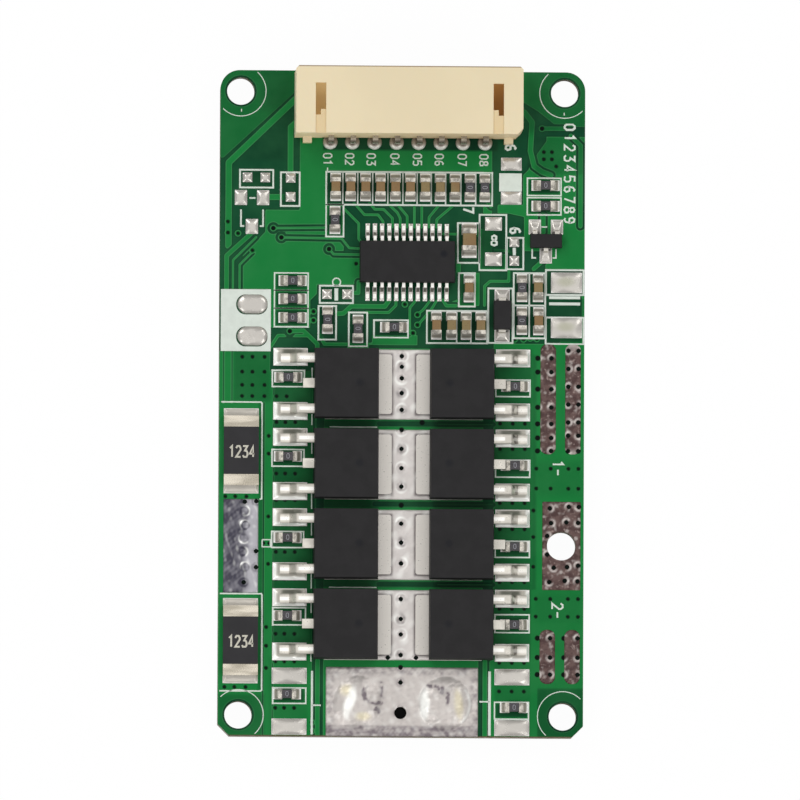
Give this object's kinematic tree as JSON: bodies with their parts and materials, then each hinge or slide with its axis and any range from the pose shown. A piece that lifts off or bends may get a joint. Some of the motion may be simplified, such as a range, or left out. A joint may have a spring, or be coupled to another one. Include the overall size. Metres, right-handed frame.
{
  "type": "battery management board",
  "caption": "Flat circuit board with a side-entry locking header, a control chip, rows of power transistors, current-sense resistors and bare solder lands for a battery pack.",
  "frame": {"origin": "middle of the board and of its four mounting holes, on the underside of the laminate", "axes": "+Z out of the face that carries the parts, +Y along the board towards the header, +X to the right when the header is at the top"},
  "size_m": [0.033, 0.0604, 0.0081],
  "materials": {
    "board": "satin solder mask on glass-fibre laminate",
    "header_plastic": "moulded cream plastic",
    "pin_metal": "tin-plated wire",
    "solder": "bright solder",
    "tinned_land": "tinned copper",
    "bare_strip": "tinned copper under brown flux",
    "black_epoxy": "moulded epoxy",
    "lead_tin": "matt tin plating",
    "capacitor_ceramic": "fired ceramic",
    "resistor_ceramic": "glazed ceramic",
    "shunt_coat": "dark resistor coating",
    "chip_tin": "tinned end caps"
  },
  "bodies": {
    "root": {"bare_strips": "bare_strip", "bottom_land": "tinned_land", "bottom_solder": "solder", "capacitor_bodies": "capacitor_ceramic", "capacitor_ends": "chip_tin", "chip_pads": "tinned_land", "circuit_board": "board", "connector_housing": "header_plastic", "connector_pin_1": "pin_metal", "connector_pin_2": "pin_metal", "connector_pin_3": "pin_metal", "connector_pin_4": "pin_metal", "connector_pin_5": "pin_metal", "connector_pin_6": "pin_metal", "connector_pin_7": "pin_metal", "connector_pin_8": "pin_metal", "connector_solder": "solder", "controller_body": "black_epoxy", "controller_leads": "lead_tin", "controller_pads": "tinned_land", "diode_body": "black_epoxy", "diode_legs": "lead_tin", "drain_land_1": "tinned_land", "drain_land_2": "tinned_land", "drain_land_3": "tinned_land", "drain_land_4": "tinned_land", "minus_land": "tinned_land", "mosfet_body_1": "black_epoxy", "mosfet_body_2": "black_epoxy", "mosfet_body_3": "black_epoxy", "mosfet_body_4": "black_epoxy", "mosfet_body_5": "black_epoxy", "mosfet_body_6": "black_epoxy", "mosfet_body_7": "black_epoxy", "mosfet_body_8": "black_epoxy", "mosfet_frame_1": "lead_tin", "mosfet_frame_2": "lead_tin", "mosfet_frame_3": "lead_tin", "mosfet_frame_4": "lead_tin", "mosfet_frame_5": "lead_tin", "mosfet_frame_6": "lead_tin", "mosfet_frame_7": "lead_tin", "mosfet_frame_8": "lead_tin", "mosfet_pads": "tinned_land", "resistor_bodies": "resistor_ceramic", "resistor_ends": "chip_tin", "sense_land": "tinned_land", "sense_resistor_body_1": "shunt_coat", "sense_resistor_body_2": "shunt_coat", "sense_resistor_ends_1": "chip_tin", "sense_resistor_ends_2": "chip_tin", "sense_resistor_pads": "tinned_land", "slot_solder": "solder", "spare_lands": "tinned_land", "supply_capacitor_body": "capacitor_ceramic", "supply_capacitor_ends": "chip_tin", "transistor_body": "black_epoxy", "transistor_legs": "lead_tin"}
  },
  "joints": []
}
